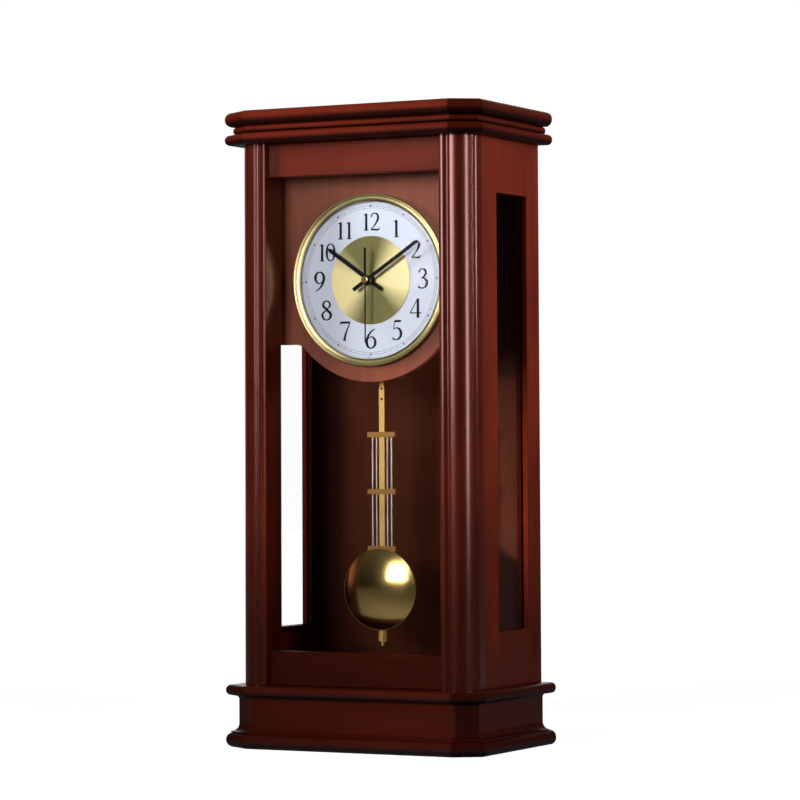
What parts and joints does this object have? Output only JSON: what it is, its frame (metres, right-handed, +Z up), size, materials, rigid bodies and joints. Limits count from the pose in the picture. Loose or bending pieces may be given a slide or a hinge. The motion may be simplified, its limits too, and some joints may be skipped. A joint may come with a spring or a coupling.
{
  "type": "pendulum case clock",
  "caption": "Tall wooden case clock with canted moulded corners, glazed sides, recessed round dial and a brass pendulum with a domed bob.",
  "frame": {"origin": "middle of the underside of the base, on the floor", "axes": "+Z up, -Y towards the viewer of the dial, +X to the viewer's right"},
  "size_m": [0.2736, 0.165, 0.598],
  "materials": {
    "mahogany": "gloss varnish",
    "pane": "clear",
    "lens_clear": "clear",
    "gilt": "polished",
    "bob_brass": "polished",
    "dial_white": "satin",
    "gold_disc": "circular brushed",
    "hand_black": "satin",
    "cap_brass": "polished",
    "case_plastic": "moulded",
    "gear_plastic": "moulded",
    "plated_steel": "plated",
    "rod_steel": "polished",
    "copper": "enamelled winding",
    "board_green": "solder mask",
    "battery_wrap": "printed wrap, left plain",
    "magnet": "ground"
  },
  "bodies": {
    "case": {"crown_top_board": "mahogany", "crown_band": "mahogany", "crown_lower_board": "mahogany", "left_corner_post": "mahogany", "right_corner_post": "mahogany", "left_side_panel": "mahogany", "right_side_panel": "mahogany", "glass_stops": "mahogany", "top_rail": "mahogany", "bottom_rail": "mahogany", "back_panel": "mahogany", "base_top_board": "mahogany", "base_bottom_board": "mahogany", "frieze_front": "mahogany", "frieze_left": "mahogany", "frieze_right": "mahogany", "frieze_corners": "mahogany", "dial_board": "mahogany", "dial_cleats": "mahogany", "left_side_glass": "pane", "right_side_glass": "pane", "lens": "lens_clear", "bezel": "gilt", "dial_plate": "dial_white", "centre_disc": "gold_disc", "centre_bush": "cap_brass", "bush_nut": "cap_brass", "movement_front_case": "case_plastic", "movement_rear_case": "case_plastic", "gear_bridge": "gear_plastic", "hanger_plate": "plated_steel", "back_screws": "plated_steel", "case_screws": "plated_steel", "battery_contacts": "plated_steel", "stator": "plated_steel", "quartz_crystal": "plated_steel", "motor_coil": "copper", "pendulum_coil": "copper", "circuit_board": "board_green", "battery": "battery_wrap"},
    "second_hand": {"second_hand": "hand_black", "hand_cap": "cap_brass", "seconds_wheel": "gear_plastic"},
    "minute_hand": {"minute_hand": "hand_black", "centre_wheel": "gear_plastic"},
    "hour_hand": {"hour_hand": "hand_black", "hour_wheel": "gear_plastic"},
    "third_wheel": {"third_wheel": "gear_plastic"},
    "motion_wheel": {"motion_wheel": "gear_plastic", "setting_knob": "case_plastic"},
    "intermediate_wheel": {"intermediate_wheel": "gear_plastic"},
    "rotor": {"rotor": "magnet"},
    "pendulum": {"pendulum_lever": "case_plastic", "drive_magnet": "magnet", "pendulum_rod": "gilt", "cross_bars": "gilt", "grid_rods": "rod_steel"},
    "bob": {"bob_dome": "bob_brass", "bob_back": "bob_brass"},
    "rating_nut": {"rating_nut": "gilt"}
  },
  "joints": [
    {"name": "second_hand_turn", "type": "hinge", "parent": "case", "child": "second_hand", "pos_m": [0, -0.015, 0.437], "axis": [0, 1, 0], "continuous": true},
    {"name": "third_wheel_turn", "type": "hinge", "parent": "case", "child": "third_wheel", "pos_m": [-0.017, -0.015, 0.437], "axis": [0, 1, 0], "continuous": true},
    {"name": "minute_hand_turn", "type": "hinge", "parent": "case", "child": "minute_hand", "pos_m": [0, -0.015, 0.437], "axis": [0, 1, 0], "continuous": true},
    {"name": "motion_wheel_turn", "type": "hinge", "parent": "case", "child": "motion_wheel", "pos_m": [0.01302, -0.015, 0.42607], "axis": [0, 1, 0], "continuous": true},
    {"name": "hour_hand_turn", "type": "hinge", "parent": "case", "child": "hour_hand", "pos_m": [0, -0.015, 0.437], "axis": [0, 1, 0], "continuous": true},
    {"name": "intermediate_wheel_turn", "type": "hinge", "parent": "case", "child": "intermediate_wheel", "pos_m": [0.00875, -0.015, 0.45215], "axis": [0, 1, 0], "continuous": true},
    {"name": "rotor_turn", "type": "hinge", "parent": "case", "child": "rotor", "pos_m": [0.0161, -0.015, 0.45833], "axis": [0, 1, 0], "continuous": true},
    {"name": "pendulum_swing", "type": "hinge", "parent": "case", "child": "pendulum", "pos_m": [0, -0.015, 0.4], "axis": [0, 1, 0], "range_deg": [-5.5, 5.5]},
    {"name": "bob_height", "type": "slide", "parent": "pendulum", "child": "bob", "axis": [0, 0, 1], "range_m": [-0.004, 0.004]},
    {"name": "rating_nut_turn", "type": "hinge", "parent": "bob", "child": "rating_nut", "pos_m": [0, -0.007, 0.104], "axis": [0, 0, 1], "range_deg": [-2060, 2060]}
  ],
  "couplings": [
    {"joint": "third_wheel_turn", "follows": "second_hand_turn", "ratio": -0.13333},
    {"joint": "minute_hand_turn", "follows": "second_hand_turn", "ratio": 0.016667},
    {"joint": "motion_wheel_turn", "follows": "second_hand_turn", "ratio": -0.0055556},
    {"joint": "hour_hand_turn", "follows": "second_hand_turn", "ratio": 0.0013889},
    {"joint": "intermediate_wheel_turn", "follows": "second_hand_turn", "ratio": -6},
    {"joint": "rotor_turn", "follows": "second_hand_turn", "ratio": 30},
    {"joint": "rating_nut_turn", "follows": "bob_height", "rad_per_m": 8976}
  ]
}
